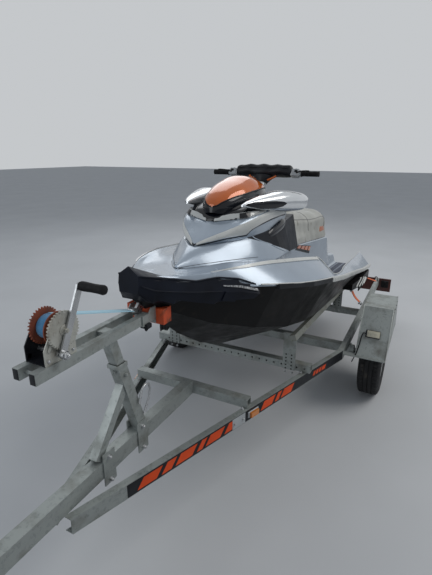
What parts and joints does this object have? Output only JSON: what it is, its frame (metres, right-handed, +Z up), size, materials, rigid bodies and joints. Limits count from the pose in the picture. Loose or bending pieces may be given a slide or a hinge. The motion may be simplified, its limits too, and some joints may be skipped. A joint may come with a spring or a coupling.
{
  "type": "personal watercraft on a road trailer",
  "caption": "Sit-down personal watercraft strapped bow-up on a galvanised boat trailer that is parked on its jockey wheel",
  "frame": {"origin": "On the ground, under the middle of the whole length and on the centre plane", "axes": "+X forward to the coupling, +Y to port, +Z up"},
  "size_m": [4.869, 1.902, 1.6786],
  "materials": {
    "galvanised": "hot-dip galvanised steel, dull",
    "hull_black": "glossy near-black hull",
    "deck_silver": "silver white gelcoat",
    "navy": "dark bumper plastic",
    "black_gloss": "gloss black plastic",
    "orange": "glossy orange",
    "black_plastic": "black plastic",
    "rubber": "black rubber",
    "tyre": "black tyre",
    "seat_cover": "marine vinyl, silver grey",
    "aluminium": "cast aluminium",
    "steel": "stainless steel",
    "cast_iron": "engine block",
    "rust_red": "dark red-brown board",
    "lamp_red": "lamp lens",
    "lamp_amber": "lamp lens",
    "strap_blue": "pale blue webbing",
    "strap_orange": "orange webbing",
    "grey_plastic": "grey plastic",
    "rim_paint": "galvanised wheel rim"
  },
  "bodies": {
    "craft_and_trailer": {"hull": "hull_black", "deck": "deck_silver", "engine_block": "cast_iron", "bow_bumper": "navy", "gunwale_strips": "black_plastic", "cowl": "deck_silver", "console": "black_plastic", "footwell_mats": "rubber", "sponsons": "grey_plastic", "tow_eyes": "steel", "jet_pump": "aluminium", "ride_plate": "aluminium", "intake_grate": "aluminium", "rail_port": "galvanised", "rail_starboard": "galvanised", "drawbar": "galvanised", "front_beam": "galvanised", "middle_beam": "galvanised", "rear_beam": "galvanised", "axle": "galvanised", "fenders": "galvanised", "fender_brackets": "galvanised", "bunks": "galvanised", "bunk_posts": "galvanised", "post_clamps": "galvanised", "winch_post": "galvanised", "winch_brace": "galvanised", "winch_beam": "galvanised", "bow_stop": "orange", "coupling": "galvanised", "winch_frame": "black_plastic", "winch_strap": "strap_blue", "bow_shackle": "steel", "jockey_tube": "galvanised", "light_board": "rust_red", "rear_lamps": "lamp_red", "marker_lamps": "lamp_amber", "stern_straps": "strap_orange"},
    "wheel_port": {"rim_port": "rim_paint", "tyre_port": "tyre"},
    "wheel_starboard": {"rim_starboard": "rim_paint", "tyre_starboard": "tyre"},
    "steering": {"handlebar": "black_plastic", "handlebar_pad": "rubber", "grips": "rubber"},
    "nozzle": {"steering_nozzle": "aluminium"},
    "bucket": {"reverse_bucket": "aluminium"},
    "impeller_rotor": {"impeller": "steel"},
    "hood": {"front_hood": "deck_silver", "dome_surround": "black_gloss", "hood_dome": "orange", "mirrors": "deck_silver"},
    "saddle": {"seat": "seat_cover"},
    "winch_reel": {"winch_drum": "steel", "strap_roll": "strap_blue"},
    "winch_handle": {"winch_crank": "steel"},
    "jockey_slide": {"jockey_leg": "galvanised"},
    "jockey_yoke": {"jockey_fork": "galvanised"},
    "jockey_roller": {"jockey_wheel": "rubber"}
  },
  "joints": [
    {"name": "wheel_port_spin", "type": "hinge", "parent": "craft_and_trailer", "child": "wheel_port", "pos_m": [-0.7855, 0.85, 0.28], "axis": [0, 1, 0], "continuous": true},
    {"name": "wheel_starboard_spin", "type": "hinge", "parent": "craft_and_trailer", "child": "wheel_starboard", "pos_m": [-0.7855, -0.85, 0.28], "axis": [0, 1, 0], "continuous": true},
    {"name": "handlebar_steer", "type": "hinge", "parent": "craft_and_trailer", "child": "steering", "pos_m": [-0.57037, 0, 1.60936], "axis": [-0.4772, 0, 0.8788], "range_deg": [-22, 22]},
    {"name": "nozzle_steer", "type": "hinge", "parent": "craft_and_trailer", "child": "nozzle", "pos_m": [-2.12333, 0, 0.52818], "axis": [-0.0785, 0, 0.9969], "range_deg": [-22, 22]},
    {"name": "bucket_lower", "type": "hinge", "parent": "craft_and_trailer", "child": "bucket", "pos_m": [-2.12333, 0, 0.52818], "axis": [0, -1, 0], "range_deg": [0, 60]},
    {"name": "impeller_spin", "type": "hinge", "parent": "craft_and_trailer", "child": "impeller_rotor", "pos_m": [-1.91397, 0, 0.54466], "axis": [0.9969, 0, 0.0785], "continuous": true},
    {"name": "hood_open", "type": "hinge", "parent": "craft_and_trailer", "child": "hood", "pos_m": [0.42291, 0, 1.27526], "axis": [0, 1, 0], "range_deg": [0, 50]},
    {"name": "seat_lift", "type": "hinge", "parent": "craft_and_trailer", "child": "saddle", "pos_m": [-0.61154, 0, 1.3423], "axis": [0, 1, 0], "range_deg": [0, 40]},
    {"name": "winch_drum_turn", "type": "hinge", "parent": "craft_and_trailer", "child": "winch_reel", "pos_m": [1.3745, 0, 1.186], "axis": [0, 1, 0], "continuous": true},
    {"name": "winch_crank_turn", "type": "hinge", "parent": "craft_and_trailer", "child": "winch_handle", "pos_m": [1.39953, 0, 1.10896], "axis": [0, 1, 0], "continuous": true},
    {"name": "jockey_raise", "type": "slide", "parent": "craft_and_trailer", "child": "jockey_slide", "axis": [0, 0, 1], "range_m": [-0.12, 0.1]},
    {"name": "jockey_swivel", "type": "hinge", "parent": "jockey_slide", "child": "jockey_yoke", "pos_m": [1.9145, -0.072, 0.206], "axis": [0, 0, 1], "continuous": true},
    {"name": "jockey_wheel_spin", "type": "hinge", "parent": "jockey_yoke", "child": "jockey_roller", "pos_m": [1.8765, -0.072, 0.1], "axis": [0, 1, 0], "continuous": true}
  ],
  "couplings": [
    {"joint": "nozzle_steer", "follows": "handlebar_steer", "ratio": -1},
    {"joint": "winch_crank_turn", "follows": "winch_drum_turn", "ratio": -5.0769}
  ]
}
